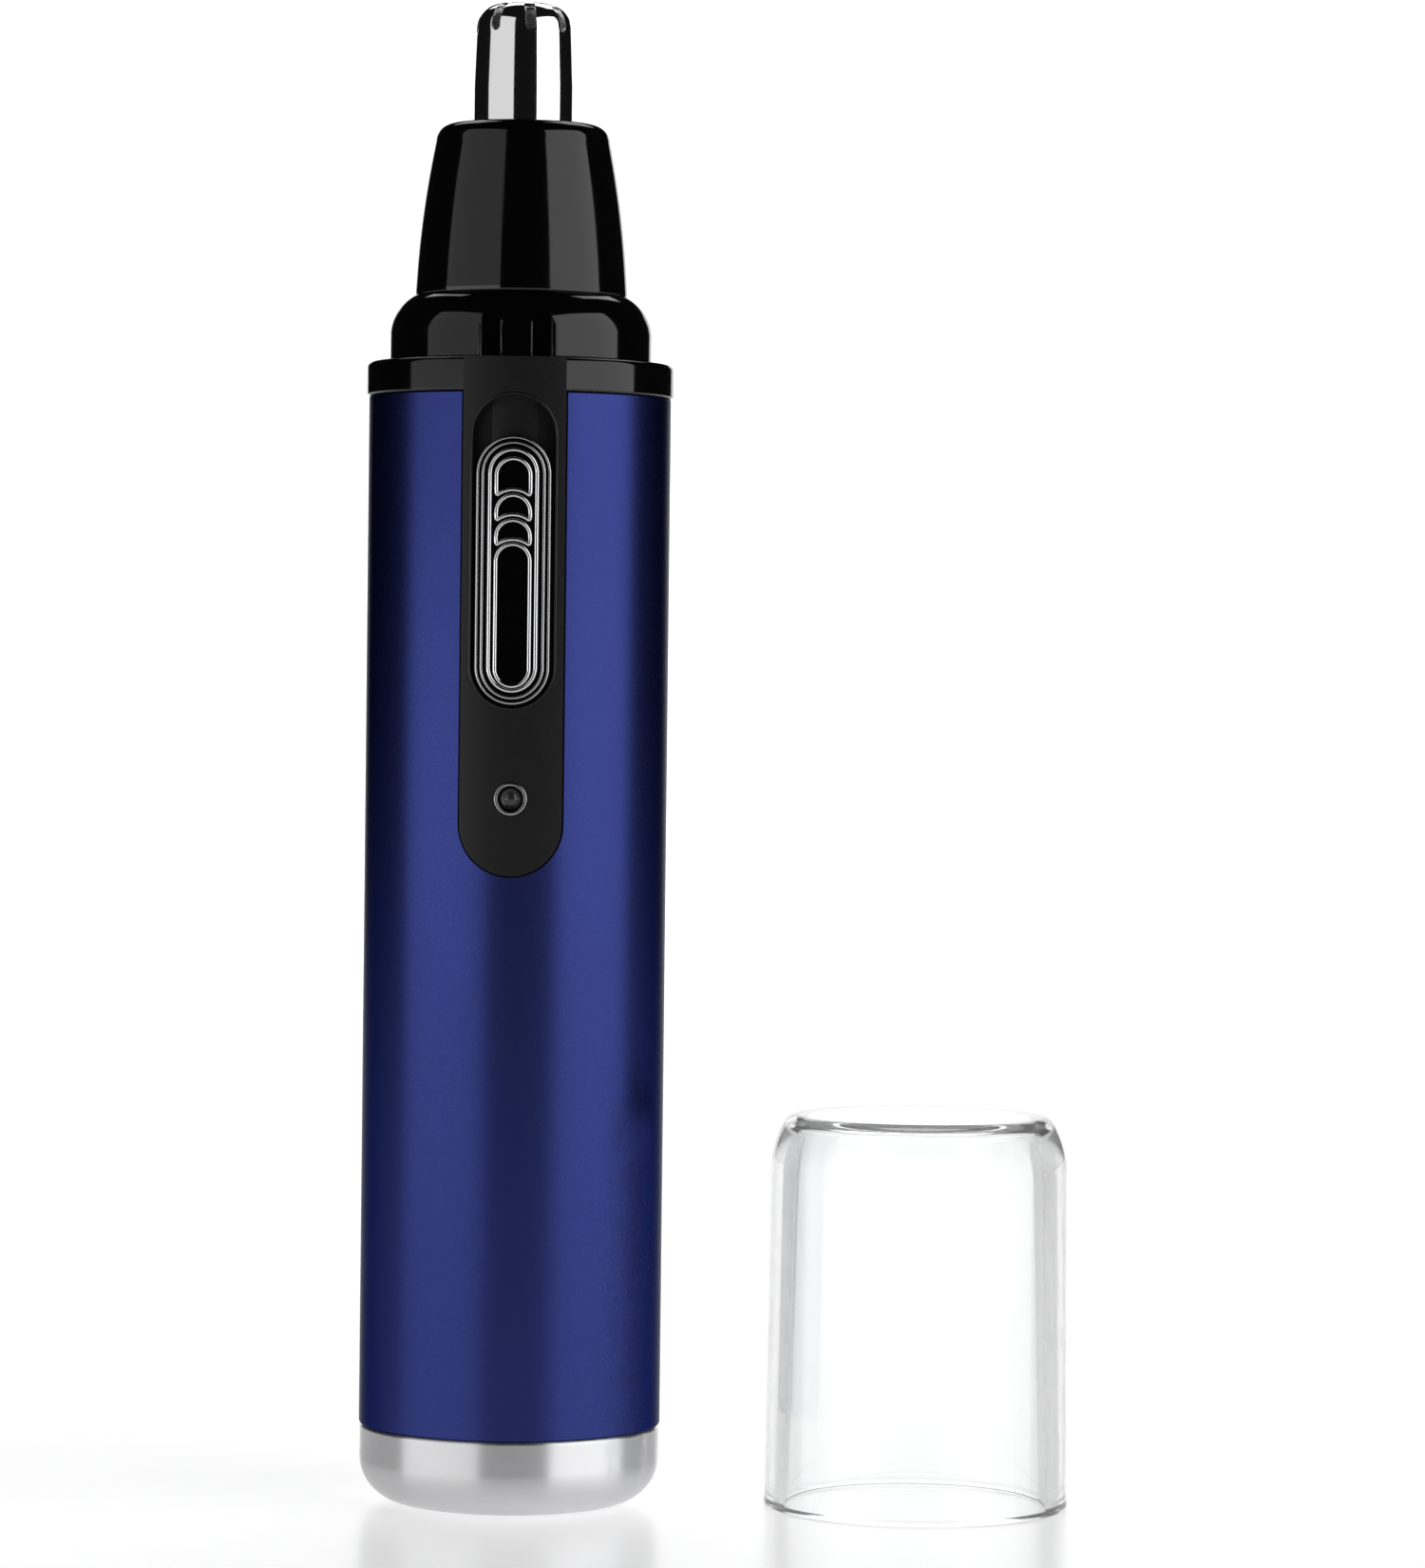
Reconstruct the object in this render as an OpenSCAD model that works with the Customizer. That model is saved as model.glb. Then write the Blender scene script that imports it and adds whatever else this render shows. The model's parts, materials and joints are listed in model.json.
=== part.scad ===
// Rechargeable nose hair trimmer with its clear cap standing beside it.
// The origin is the centre of the base's underside, +Z runs up to the cutter and -Y is the switch side.

/* [Handle] */
// Outer diameter of the blue sleeve
sleeve_d = 28; // [28:0.1:28.3]
// Wall of the sleeve
sleeve_wall = 0.8; // [0.6:0.1:0.9]
// Height of the seam between the base cap and the sleeve
seam_z = 7.3; // [7:0.1:8]
// Height of the sleeve's top edge
sleeve_top = 102.5; // [102:0.5:108]
// Diameter of the collar's flange
flange_d = 28.5; // [28.2:0.1:29]
// Height of the collar's flange
flange_h = 3.1; // [2.8:0.1:3.4]
// Radius of the rounded edge under the base cap
base_round = 4.2; // [3.5:0.1:4.4]

/* [Switch plate] */
// Width of the black tongue that carries the switch
tongue_w = 9.3; // [9.2:0.1:10.4]
// Height of the tongue's lower end
tongue_low = 58.6; // [57:0.1:60]
// Length of the switch button
button_l = 24.3; // [23:0.1:25]
// Width of the switch button
button_w = 6.8; // [6.6:0.1:6.9]
// Travel of the switch from off to on
switch_travel = 3; // [2:0.1:3.2]

/* [Cutter head] */
// Diameter of the shoulder ring that the cap fits over
shoulder_d = 24.3; // [23.9:0.1:24.3]
// Diameter of the cone at its foot
cone_d = 19.7; // [19.5:0.1:20.2]
// Diameter of the slotted tube where it leaves the cone
tube_d = 9.2; // [9.1:0.05:9.25]
// Number of hair slots round the tube's rim
slot_count = 8; // [6:1:10]
// Width of a hair slot
slot_w = 1; // [0.7:0.1:1]

/* [Cap] */
// Distance from the trimmer's axis to the standing cap's axis
cap_x = 37.9; // [34:0.1:60]
// Height of the cap
cap_h = 36.3; // [36:0.1:40]
// Diameter of the cap above its bead
cap_d = 28.1; // [28:0.1:28.4]

/* [Hidden] */
$fn = 96;
fit = 0.1;                                   // clearance of a sliding fit
sleeve_r = sleeve_d / 2;
frame_r = sleeve_r - sleeve_wall - fit;      // outside of the frame inside the sleeve
frame_in = frame_r - 1.5;
base_r = sleeve_r - 0.1;
base_floor = 2;
recess_r = 3.4;                              // plug recess in the base
socket_r = 2.95;
plug_top = 12;
cell_r = 7.1;                                // size AA cell
cell_z = 15.6;
cell_l = 49;
board_y = -9;                                // front face of the circuit board
board_t = 1;
motor_z = sleeve_top - 32;                   // foot of the motor's can
motor_l = 20;
motor_r = 7.75;
motor_flat = 6.4;
motor_top = motor_z + motor_l;
shaft_r = 0.75;
drive_square = 2.8;
flange_top = sleeve_top + flange_h;
neck_r = 8.9;
neck_in = 7.6;
neck_top = flange_top + 4.2;
drive_top = flange_top + 4.8;
shoulder_r = shoulder_d / 2;
shoulder_z = flange_top + fit;
shoulder_top = flange_top + 6.15;
shoulder_round = 4.2;
shoulder_turn = 60;                          // angle at which the round meets the flat top
key_gap = [1.5, 3.1];                        // inner and outer edge of each key groove, from the middle
cone_z = shoulder_top + 0.05;
cone_h = 15.9;
cone_top = cone_z + cone_h;
cone_round = 1.6;
ogive_r = 92;                                // radius of the cone's slightly bulging side
tube_r = tube_d / 2;
tube_tip_r = tube_r - 0.2;
tube_wall = 0.35;
tip_round = 2.3;
tip_z = cone_top + 11.2;
slot_low = tip_z - 2.8;
hub_z = flange_top - 0.4;
face_r = 24;                                 // curve of the tongue's face, flatter than the sleeve
face_y = -(sleeve_r + 0.3);                  // front of the tongue's face
recess_w = button_w + 0.8;
recess_deep = 1.3;
recess_top = sleeve_top - 0.3;
button_low = recess_top - button_l - switch_travel - 0.8;
recess_low = button_low - 0.3;
stem_z = button_low + 11;
led_z = tongue_low + 7;
led_r = 1.2;
cap_wall_foot = 1.85;

// ---- helpers ----

// Points along an arc, as [radius, height] pairs
function arc(c, r, a0, a1, n = 12) =
    [for (i = [0:n]) let (a = a0 + (a1 - a0) * i / n) [c[0] + r * cos(a), c[1] + r * sin(a)]];

// Points round a wire's section at one place along a coil
function coil_ring(r, wire, z, a, sides) =
    [for (k = [0:sides - 1]) let (b = 360 * k / sides)
        [(r + wire * cos(b)) * cos(a), (r + wire * cos(b)) * sin(a), z + wire * sin(b)]];

module tube(ro, ri, z0, z1) {
    translate([0, 0, z0]) difference() {
        cylinder(r = ro, h = z1 - z0);
        translate([0, 0, -1]) cylinder(r = ri, h = z1 - z0 + 2);
    }
}

module rod(r, z0, z1) {
    translate([0, 0, z0]) cylinder(r = r, h = z1 - z0);
}

module box(low, high) {
    translate(low) cube(high - low);
}

// A straight rod along Y
module rod_y(x, z, r, y0, y1) {
    translate([x, y1, z]) rotate([90, 0, 0]) cylinder(r = r, h = y1 - y0);
}

// Extrudes an outline drawn in X and Z along Y, from y0 to y1
module along_y(y0, y1) {
    translate([0, y1, 0]) rotate([90, 0, 0]) linear_extrude(y1 - y0) children();
}

// An upright outline with round ends, from z0 to z1
module stadium(w, z0, z1) {
    translate([-w / 2, z0 + w / 2]) square([w, z1 - z0 - w]);
    translate([0, z0 + w / 2]) circle(d = w);
    translate([0, z1 - w / 2]) circle(d = w);
}

// An outline with a round lower end and a square top
module tongue_shape(w, z0, z1) {
    translate([-w / 2, z0 + w / 2]) square([w, z1 - z0 - w / 2]);
    translate([0, z0 + w / 2]) circle(d = w);
}

// Everything behind the tongue's curved face, moved outwards by out
module behind_face(out, z0, z1) {
    translate([0, face_y + face_r, z0]) cylinder(r = face_r + out, h = z1 - z0);
}

// A closed coil of wire
module coil(r_foot, r_head, wire, z0, z1, turns, sides = 8, per_turn = 16) {
    n = turns * per_turn;
    rings = [for (i = [0:n]) coil_ring(r_foot + (r_head - r_foot) * i / n, wire,
        z0 + wire + (z1 - z0 - 2 * wire) * i / n, 360 * i / per_turn, sides)];
    points = [for (ring = rings) each ring];
    skin = [for (i = [0:n - 1], k = [0:sides - 1]) let (k2 = (k + 1) % sides)
        [i * sides + k, i * sides + k2, (i + 1) * sides + k2, (i + 1) * sides + k]];
    foot = [for (k = [sides - 1:-1:0]) k];
    head = [for (k = [0:sides - 1]) n * sides + k];
    polyhedron(points = points, faces = concat([foot], skin, [head]));
}

// ---- handle ----

module sleeve() {
    color("midnightblue") difference() {
        tube(sleeve_r, sleeve_r - sleeve_wall, seam_z, sleeve_top - 0.05);
        along_y(-20, -8) tongue_shape(tongue_w + fit, tongue_low - fit / 2, sleeve_top + 5);
    }
}

module half_shell(side, z0, z1, inner = frame_in) {
    intersection() {
        tube(frame_r, inner, z0, z1);
        translate([-20, side < 0 ? -20 : 0.05, z0 - 1]) cube([40, 19.95, z1 - z0 + 2]);
    }
}

// Where the two frame screws run, as x and z
screw_places = [for (x = [-9.5, 9.5]) [x, motor_z - 3]];
cradle_z = [22, 38, 54];                     // feet of the ribs that hold the battery

module front_frame() {
    color([0.06, 0.06, 0.06]) difference() {
        union() {
            half_shell(-1, plug_top + 0.3, sleeve_top);
            for (z = cradle_z) half_shell(-1, z, z + 1, cell_r + fit);
            tube(frame_r, frame_in, sleeve_top - 7, sleeve_top);
            rotate_extrude() polygon(concat([[6.9, sleeve_top]],
                arc([flange_d / 2 - 0.3, sleeve_top + 0.3], 0.3, -90, 0, 4),
                arc([flange_d / 2 - 0.5, flange_top - 0.5], 0.5, 0, 90, 5),
                [[neck_r, flange_top], [neck_r, neck_top - 0.4], [neck_r - 0.4, neck_top],
                    [neck_in, neck_top], [neck_in, sleeve_top + 0.8], [6.9, sleeve_top + 0.8]]));
            difference() {
                intersection() {
                    along_y(-20, -frame_in + 2) tongue_shape(tongue_w, tongue_low, flange_top);
                    behind_face(0, tongue_low - 1, flange_top + 1);
                }
                rod(frame_in, tongue_low - 1, sleeve_top);
                rod(frame_r - 0.5, sleeve_top - 0.01, flange_top + 1);
            }
            for (p = screw_places) intersection() {
                rod_y(p[0], p[1], 1.8, -9, -0.05);
                rod(frame_r - 0.3, p[1] - 3, p[1] + 3);
            }
        }
        difference() {
            along_y(-20, -8) stadium(recess_w, recess_low, recess_top);
            behind_face(-recess_deep, recess_low - 1, recess_top + 1);
        }
        along_y(-20, -8) stadium(2.2, stem_z - 1.6, stem_z + switch_travel + 1.6);
        rod_y(0, led_z, 1.55, -20, -8);
        for (p = screw_places) rod_y(p[0], p[1], 0.95, -6, 1);
        rotate_extrude() translate([8.1, flange_top + 1.3]) square([2, 1]);
    }
}

module rear_frame() {
    color([0.06, 0.06, 0.06]) difference() {
        union() {
            half_shell(1, plug_top + 0.3, sleeve_top - 7.1);
            for (z = cradle_z) half_shell(1, z, z + 1, cell_r + fit);
            half_shell(1, cell_z + cell_l + 1.75, cell_z + cell_l + 2.75, 3);
            half_shell(1, motor_top - 1.05, motor_top - 0.05, frame_in - 1);
            for (p = screw_places) intersection() {
                rod_y(p[0], p[1], 1.8, 0.05, 9);
                rod(frame_r - 0.3, p[1] - 3, p[1] + 3);
            }
        }
        for (p = screw_places) {
            rod_y(p[0], p[1], 0.95, -1, 20);
            rod_y(p[0], p[1], 1.75, 6, 20);
        }
    }
}

module frame_screws() {
    color("silver") for (p = screw_places) difference() {
        union() {
            rod_y(p[0], p[1], 0.9, -5.5, 6.1);
            rod_y(p[0], p[1], 1.6, 6.05, 7.2);
        }
        box([p[0] - 0.9, 6.8, p[1] - 0.15], [p[0] + 0.9, 8, p[1] + 0.15]);
        box([p[0] - 0.15, 6.8, p[1] - 0.9], [p[0] + 0.15, 8, p[1] + 0.9]);
    }
}

module base_cap() {
    color("silver") rotate_extrude() polygon(concat([[recess_r, 0]],
        arc([base_r - base_round, base_round], base_round, -90, 0, 16),
        [[base_r, seam_z - 0.25], [base_r - 0.2, seam_z - 0.05], [base_r - 1.2, seam_z - 0.05],
            [base_r - 1.2, base_round + 0.4], [base_r - base_round + 1.2, base_floor],
            [recess_r, base_floor]]));
}

module base_plug() {
    color([0.06, 0.06, 0.06]) rotate_extrude() polygon([[socket_r + 0.05, base_floor + 0.05],
        [base_r - base_round + 0.9, base_floor + 0.05], [base_r - 1.35, base_round + 0.6],
        [base_r - 1.35, seam_z + 0.05], [frame_r, seam_z + 0.05], [frame_r, plug_top],
        [frame_in + 0.05, plug_top], [frame_in + 0.05, 11.05], [10.6, 11.05], [10.6, 8.5],
        [8.9, 4.1], [socket_r + 0.05, 4.1]]);
}

module charge_socket() {
    color([0.1, 0.1, 0.1]) difference() {
        union() {
            rod(socket_r, base_floor + 0.05, 9.5);
            rod(4.2, 4.15, 5.2);
        }
        rod(1.75, 0, 8.6);
        rod(0.7, 8, 10);
    }
}

module socket_pin() {
    color("gold") union() {
        rod(0.65, 3.4, 10.4);
        translate([0, 0, 3.4]) sphere(r = 0.65);
    }
}

module socket_tags() {
    color("gold") for (x = [-2, 2]) box([x - 0.6, -0.2, 9.55], [x + 0.6, 0.2, 11]);
}

module battery_tray() {
    color([0.12, 0.12, 0.12]) difference() {
        rod(frame_in - 0.05, 11.1, 12.4);
        for (x = [-8.6, 8.6]) rod_at(x, 0, 1.2, 10, 13);
    }
}

module rod_at(x, y, r, z0, z1) {
    translate([x, y, 0]) rod(r, z0, z1);
}

module battery() {
    color("seagreen") union() {
        rotate_extrude() polygon([[0, cell_z], [4.5, cell_z], [4.5, cell_z + 0.3],
            [cell_r - 0.3, cell_z + 0.3], [cell_r, cell_z + 0.6],
            [cell_r, cell_z + cell_l - 0.4], [cell_r - 0.4, cell_z + cell_l],
            [2.75, cell_z + cell_l], [2.75, cell_z + cell_l + 1.2], [0, cell_z + cell_l + 1.2]]);
    }
}

module battery_spring() {
    color("silver") coil(5, 3, 0.3, 12.85, cell_z - 0.05, 3);
}

module battery_minus_plate() {
    color("silver") difference() {
        rod(6, 12.45, 12.8);
        rod(1, 12, 13);
    }
}

module battery_plus_plate() {
    z = cell_z + cell_l + 1.25;
    color("silver") rod(4.5, z, z + 0.4);
}

module circuit_board() {
    color("darkgreen") difference() {
        box([-6, board_y, tongue_low - 1.5], [6, board_y + board_t, sleeve_top - 3]);
        for (x = [-4.8, 4.8], z = [tongue_low, sleeve_top - 4.5])
            rod_y(x, z, 0.6, board_y - 1, board_y + 2);
    }
}

module board_resistors() {
    color("tan") for (i = [0:3])
        box([-4.6 + i * 2.6, board_y - 0.55, 69.5], [-3.2 + i * 2.6, board_y - 0.02, 72]);
}

module board_capacitor() {
    color("black") rod_y(3.8, 75, 1.2, board_y - 1.2, board_y - 0.02);
}

module board_chip() {
    color([0.15, 0.15, 0.15]) union() {
        box([-5, board_y - 1.1, 73.5], [-1.2, board_y - 0.1, 77.5]);
        for (i = [0:3], x = [-5.6, -1.3])
            box([x, board_y - 0.35, 73.9 + i * 0.9], [x + 0.7, board_y - 0.02, 74.3 + i * 0.9]);
    }
}

module slide_switch() {
    color("silver") difference() {
        box([-3.2, board_y - 1.5, stem_z - 5], [3.2, board_y - 0.02, stem_z + switch_travel + 5]);
        box([-1.4, board_y - 2, stem_z - 2.2], [1.4, board_y - 0.5, stem_z + switch_travel + 2.2]);
    }
}

module led_bezel() {
    color("silver") difference() {
        rod_y(0, led_z, 1.5, face_y - 0.05, face_y + 1.4);
        rod_y(0, led_z, led_r + 0.04, face_y - 1, face_y + 2);
    }
}

module led_lens() {
    color([0.85, 0.85, 0.85]) union() {
        rod_y(0, led_z, led_r, face_y + 1.3, board_y - 1);
        translate([0, face_y + 1.3, led_z]) sphere(r = led_r);
        rod_y(0, led_z, 1.45, board_y - 2, board_y - 1);
    }
}

module led_legs() {
    color("silver") for (x = [-0.65, 0.65]) box([x - 0.22, board_y - 0.97, led_z - 0.22],
        [x + 0.22, board_y - 0.03, led_z + 0.22]);
}

// ---- motor ----

module flat_sided(r, flat, z0, z1) {
    intersection() {
        rod(r, z0, z1);
        box([-r - 1, -flat, z0 - 1], [r + 1, flat, z1 + 1]);
    }
}

module motor_can() {
    color("silver") difference() {
        union() {
            flat_sided(motor_r, motor_flat, motor_z, motor_top);
            rod(2.9, motor_top - 0.1, motor_top + 1.5);
        }
        flat_sided(motor_r - 0.5, motor_flat - 0.5, motor_z - 1, motor_top - 0.6);
        rod(shaft_r + 0.05, motor_top - 1, motor_top + 2);
        for (x = [-4.8, 4.8]) rod_at(x, 0, 0.85, motor_top - 1, motor_top + 1);
    }
}

module motor_end_cap() {
    color("ivory") difference() {
        union() {
            flat_sided(motor_r - 0.1, motor_flat - 0.1, motor_z - 1.5, motor_z - 0.02);
            rod(2.4, motor_z - 2.3, motor_z - 1.4);
        }
        rod(shaft_r + 0.05, motor_z - 3, motor_z + 1);
    }
}

module motor_magnets() {
    color("dimgray") for (side = [0, 180]) rotate([0, 0, side]) intersection() {
        tube(motor_r - 0.55, 5.6, motor_z + 2.5, motor_top - 3.5);
        box([0, -4.6, motor_z], [9, 4.6, motor_top]);
    }
}

module motor_tags() {
    color("gold") for (x = [-4.6, 4.6])
        box([x - 0.9, -0.2, motor_z - 2.7], [x + 0.9, 0.2, motor_z - 1.52]);
}

module motor_mount() {
    z = motor_top + 0.05;
    color([0.9, 0.9, 0.85]) difference() {
        rod(frame_in - 0.05, z, z + 2);
        rod(2.95, z - 1, z + 3);
        for (x = [-4.8, 4.8]) rod_at(x, 0, 0.85, z - 1, z + 3);
        box([-20, -20, z - 1], [20, board_y + board_t + 0.15, z + 3]);
    }
}

module motor_screws() {
    z = motor_top + 2.06;
    color("silver") for (x = [-4.8, 4.8]) difference() {
        union() {
            rod_at(x, 0, 0.8, z - 4, z + 0.02);
            rod_at(x, 0, 1.4, z, z + 1);
        }
        box([x - 0.9, -0.15, z + 0.6], [x + 0.9, 0.15, z + 2]);
        box([x - 0.15, -0.9, z + 0.6], [x + 0.15, 0.9, z + 2]);
    }
}

module motor_shaft() {
    color("silver") rod(shaft_r, motor_z - 2, motor_top + 9.5);
}

module motor_armature() {
    color("chocolate") difference() {
        rod(5.3, motor_z + 3.5, motor_top - 4.5);
        rod(shaft_r + 0.02, motor_z, motor_top);
        for (a = [0:120:240]) rotate([0, 0, a]) union() {
            rod_at(3.6, 0, 1.1, motor_z, motor_top);
            box([3.6, -0.4, motor_z], [7, 0.4, motor_top]);
        }
    }
}

module motor_commutator() {
    color("peru") tube(1.9, shaft_r + 0.02, motor_z + 0.8, motor_z + 3.2);
}

module drive_dog() {
    z0 = motor_top + 4;
    z1 = sleeve_top - 1;
    color("ivory") difference() {
        union() {
            rod(2.6, z0, z1 - 0.6);
            translate([0, 0, z1 - 0.6]) cylinder(r1 = 2.6, r2 = 2, h = 0.6);
            box([-drive_square / 2, -drive_square / 2, z1 - 1],
                [drive_square / 2, drive_square / 2, drive_top]);
        }
        rod(shaft_r + 0.02, z0 - 1, z0 + 5.7);
    }
}

module splash_seal() {
    color([0.1, 0.1, 0.1]) tube(neck_in - 0.05, 2.3, sleeve_top + 0.82, sleeve_top + 1.7);
}

module o_ring() {
    color([0.08, 0.08, 0.08]) rotate_extrude() translate([8.57, flange_top + 1.8]) circle(r = 0.42);
}

// ---- switch ----

// The D-shaped cell, the two crescents and the long pad on the button, grown outwards by grow
module pad_cells(grow) {
    w = 3.3 + 2 * grow;
    top = button_low + button_l - 1.85;
    cells = [[top, 3.3], [top - 3.2, 2.3], [top - 5.5, 2.3]];
    for (c = cells) difference() {
        tongue_shape_up(w, c[0] - c[1] - grow - 0.5, c[0] + grow);
        translate([0, c[0] - c[1] - 1.72]) circle(r = 1.8 - grow);
    }
    stadium(w, button_low + 1.85 - grow, top - 7.75 + grow);
}

// An outline with a round upper end and a square foot
module tongue_shape_up(w, z0, z1) {
    translate([-w / 2, z0]) square([w, z1 - z0 - w / 2]);
    translate([0, z1 - w / 2]) circle(d = w);
}

// A slice of the button: the outline cut to the curved face, from low to high out of it
module face_slice(low, high) {
    difference() {
        intersection() {
            along_y(-20, -8) children();
            behind_face(high, button_low - 1, button_low + button_l + 1);
        }
        behind_face(low, button_low - 2, button_low + button_l + 2);
    }
}

module button_outline(inset) {
    stadium(button_w - 2 * inset, button_low + inset, button_low + button_l - inset);
}

module switch_button() {
    color([0.07, 0.07, 0.07]) union() {
        face_slice(-recess_deep + 0.15, 0.15) button_outline(0);
        face_slice(0.1, 0.4) button_outline(0.5);
        face_slice(0.35, 0.6) button_outline(1.05);
        intersection() {
            along_y(-20, board_y - 2.2) stadium(1.8, stem_z - 1.4, stem_z + 1.4);
            behind_face(-0.5, stem_z - 4, stem_z + 4);
        }
    }
}

// Each line of the trim stands on the button's step below it
module switch_trim() {
    color("silver") {
        face_slice(0.17, 0.3) difference() {
            button_outline(0.05);
            button_outline(0.3);
        }
        face_slice(0.42, 0.55) difference() {
            button_outline(0.55);
            button_outline(0.8);
        }
        face_slice(0.62, 0.8) difference() {
            button_outline(1.1);
            button_outline(1.45);
        }
        face_slice(0.62, 0.8) difference() {
            pad_cells(0);
            pad_cells(-0.33);
        }
    }
}

module switch_clip() {
    y = board_y - 2.2;
    color([0.8, 0.8, 0.75]) box([-2.2, y + 0.03, stem_z - 3.4], [2.2, y + 0.5, stem_z + 3.4]);
}

module switch_slider() {
    color([0.05, 0.05, 0.05]) box([-1.2, board_y - 1.67, stem_z - 2], [1.2, board_y - 0.6, stem_z + 2]);
}

// ---- cutter head ----

module shoulder_ring() {
    color([0.05, 0.05, 0.05]) difference() {
        rotate_extrude() polygon(concat([[neck_r + 0.15, shoulder_z], [shoulder_r, shoulder_z]],
            arc([shoulder_r - shoulder_round, shoulder_top - shoulder_round * sin(shoulder_turn)],
                shoulder_round, 0, shoulder_turn, 14),
            [[8.5, shoulder_top], [8.5, neck_top + 0.3], [neck_r + 0.15, neck_top + 0.3]]));
        for (side = [-1, 1], face = [-1, 1])
            box([side > 0 ? key_gap[0] : -key_gap[1], face > 0 ? shoulder_r - 0.75 : -20, shoulder_z - 1],
                [side > 0 ? key_gap[1] : -key_gap[0], face > 0 ? 20 : -shoulder_r + 0.75,
                    shoulder_top - 1.2]);
    }
}

// The cone's outer radius at a height: an arc that stands almost upright at its foot
function ogive(z) = let (h = z - cone_z + 4)
    cone_d / 2 - (ogive_r - sqrt(ogive_r * ogive_r - h * h)) + 0.09;

module head_cone() {
    side_top = cone_top - cone_round;
    r_top = ogive(side_top);
    color([0.05, 0.05, 0.05]) rotate_extrude() polygon(concat(
        [[7.3, cone_z - 1.6], [8.45, cone_z - 1.6], [8.45, cone_z]],
        [for (i = [0:14]) let (z = cone_z + (side_top - cone_z) * i / 14) [ogive(z), z]],
        arc([r_top - cone_round, side_top], cone_round, 10, 90, 8),
        [[tube_r + 0.05, cone_top], [tube_r + 0.05, cone_top - 1.8], [6.6, cone_top - 1.8],
            [8.1, cone_z + 1.2], [7.3, cone_z + 1.2]]));
}

module cutter_tube() {
    flange_z = cone_top - 1.85;
    dome = [tube_tip_r - tip_round, tip_z - tip_round];
    color("silver") difference() {
        rotate_extrude() polygon(concat(
            [[6.3, flange_z - 0.8], [6.3, flange_z], [tube_r, flange_z], [tube_r, cone_top + 3.5]],
            arc(dome, tip_round, 0, 90, 16), [[0, tip_z], [0, tip_z - tube_wall]],
            arc(dome, tip_round - tube_wall, 90, 0, 12),
            [[tube_r - tube_wall, cone_top + 3.5], [tube_r - tube_wall, flange_z - 0.8]]));
        for (i = [0:slot_count - 1]) rotate([0, 0, 360 * i / slot_count - 80]) union() {
            box([1.2, -slot_w / 2, slot_low + slot_w / 2], [8, slot_w / 2, tip_z + 2]);
            translate([1.2, 0, slot_low + slot_w / 2]) rotate([0, 90, 0]) cylinder(d = slot_w, h = 7);
        }
    }
}

module tube_retainer() {
    z1 = cone_top - 2.7;
    color([0.85, 0.85, 0.8]) difference() {
        tube(6.45, tube_r - tube_wall, z1 - 2.6, z1);
        for (a = [0, 90]) rotate([0, 0, a]) box([-8, -0.6, z1 - 4], [8, 0.6, z1 - 1.8]);
    }
}

module shaft_bush() {
    color([0.85, 0.85, 0.8]) difference() {
        rod(7.25, cone_z + 0.2, cone_z + 2);
        rod(1.96, cone_z - 1, cone_z + 3);
        for (a = [0:90:270]) rotate([0, 0, a + 45]) rod_at(5, 0, 1.1, cone_z - 1, cone_z + 3);
    }
}

module cutter_blade() {
    z0 = cone_top + 1.95;
    r = tube_tip_r - tube_wall - 0.12;
    dome = [tube_tip_r - tip_round, tip_z - tip_round];
    edge = arc(dome, tip_round - tube_wall - 0.12, 0, 90, 8);
    color("silver") for (a = [0, 90]) rotate([0, 0, a]) along_y(-0.2, 0.2)
        polygon(concat([[-r, z0], [r, z0]], edge,
            [for (i = [8:-1:0]) [-edge[i][0], edge[i][1]]]));
}

module blade_hub() {
    collar_z = cone_z + 10;
    top = cone_top + 1.9;
    color([0.9, 0.9, 0.86]) difference() {
        union() {
            rod(3.3, hub_z, cone_z - 0.2);
            rod(1.9, cone_z - 0.3, top);
            rod(2.9, collar_z, collar_z + 1);
            rod(3.7, top - 1.2, top);
        }
        box([-drive_square / 2 - 0.15, -drive_square / 2 - 0.15, hub_z - 1],
            [drive_square / 2 + 0.15, drive_square / 2 + 0.15, drive_top + 0.5]);
    }
}

module blade_spring() {
    color("silver") coil(2.45, 2.45, 0.18, cone_z + 2.5, cone_z + 9.95, 6, 6, 14);
}

module spring_washer() {
    color("silver") tube(3.3, 1.96, cone_z + 2.1, cone_z + 2.45);
}

// ---- cap ----

module clear_cap() {
    r = cap_d / 2;
    bulge = 9;
    turn = 30;
    small = 1.3;
    knee = [r - 0.3, cap_h - bulge * sin(turn) - small * (1 - sin(turn))];
    knee_end = [knee[0] - bulge * (1 - cos(turn)), knee[1] + bulge * sin(turn)];
    inner_top = cap_h - 1;
    color([0.9, 0.95, 1, 0.35]) translate([cap_x, 0, 0]) rotate_extrude() polygon(concat(
        [[r - cap_wall_foot, 0], [r + 0.08, 0], [r + 0.08, 0.45], [r, 0.6]],
        arc([knee[0] - bulge, knee[1]], bulge, 0, turn, 12),
        arc([knee_end[0] - small * cos(turn), knee_end[1] - small * sin(turn)], small, turn + 8, 90, 8),
        [[0, cap_h], [0, inner_top]],
        arc([r - 3.9, inner_top - 1.2], 1.2, 90, 0, 8),
        [[r - 2.5, cap_h - 6]]));
}

sleeve();
front_frame();
rear_frame();
frame_screws();
base_cap();
base_plug();
charge_socket();
socket_pin();
socket_tags();
battery_tray();
battery();
battery_spring();
battery_minus_plate();
battery_plus_plate();
circuit_board();
board_resistors();
board_capacitor();
board_chip();
slide_switch();
led_bezel();
led_lens();
led_legs();
motor_can();
motor_end_cap();
motor_magnets();
motor_tags();
motor_mount();
motor_screws();
splash_seal();
o_ring();
switch_button();
switch_trim();
switch_clip();
switch_slider();
motor_shaft();
motor_armature();
motor_commutator();
drive_dog();
shoulder_ring();
head_cone();
cutter_tube();
tube_retainer();
shaft_bush();
cutter_blade();
blade_hub();
blade_spring();
spring_washer();
clear_cap();
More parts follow.
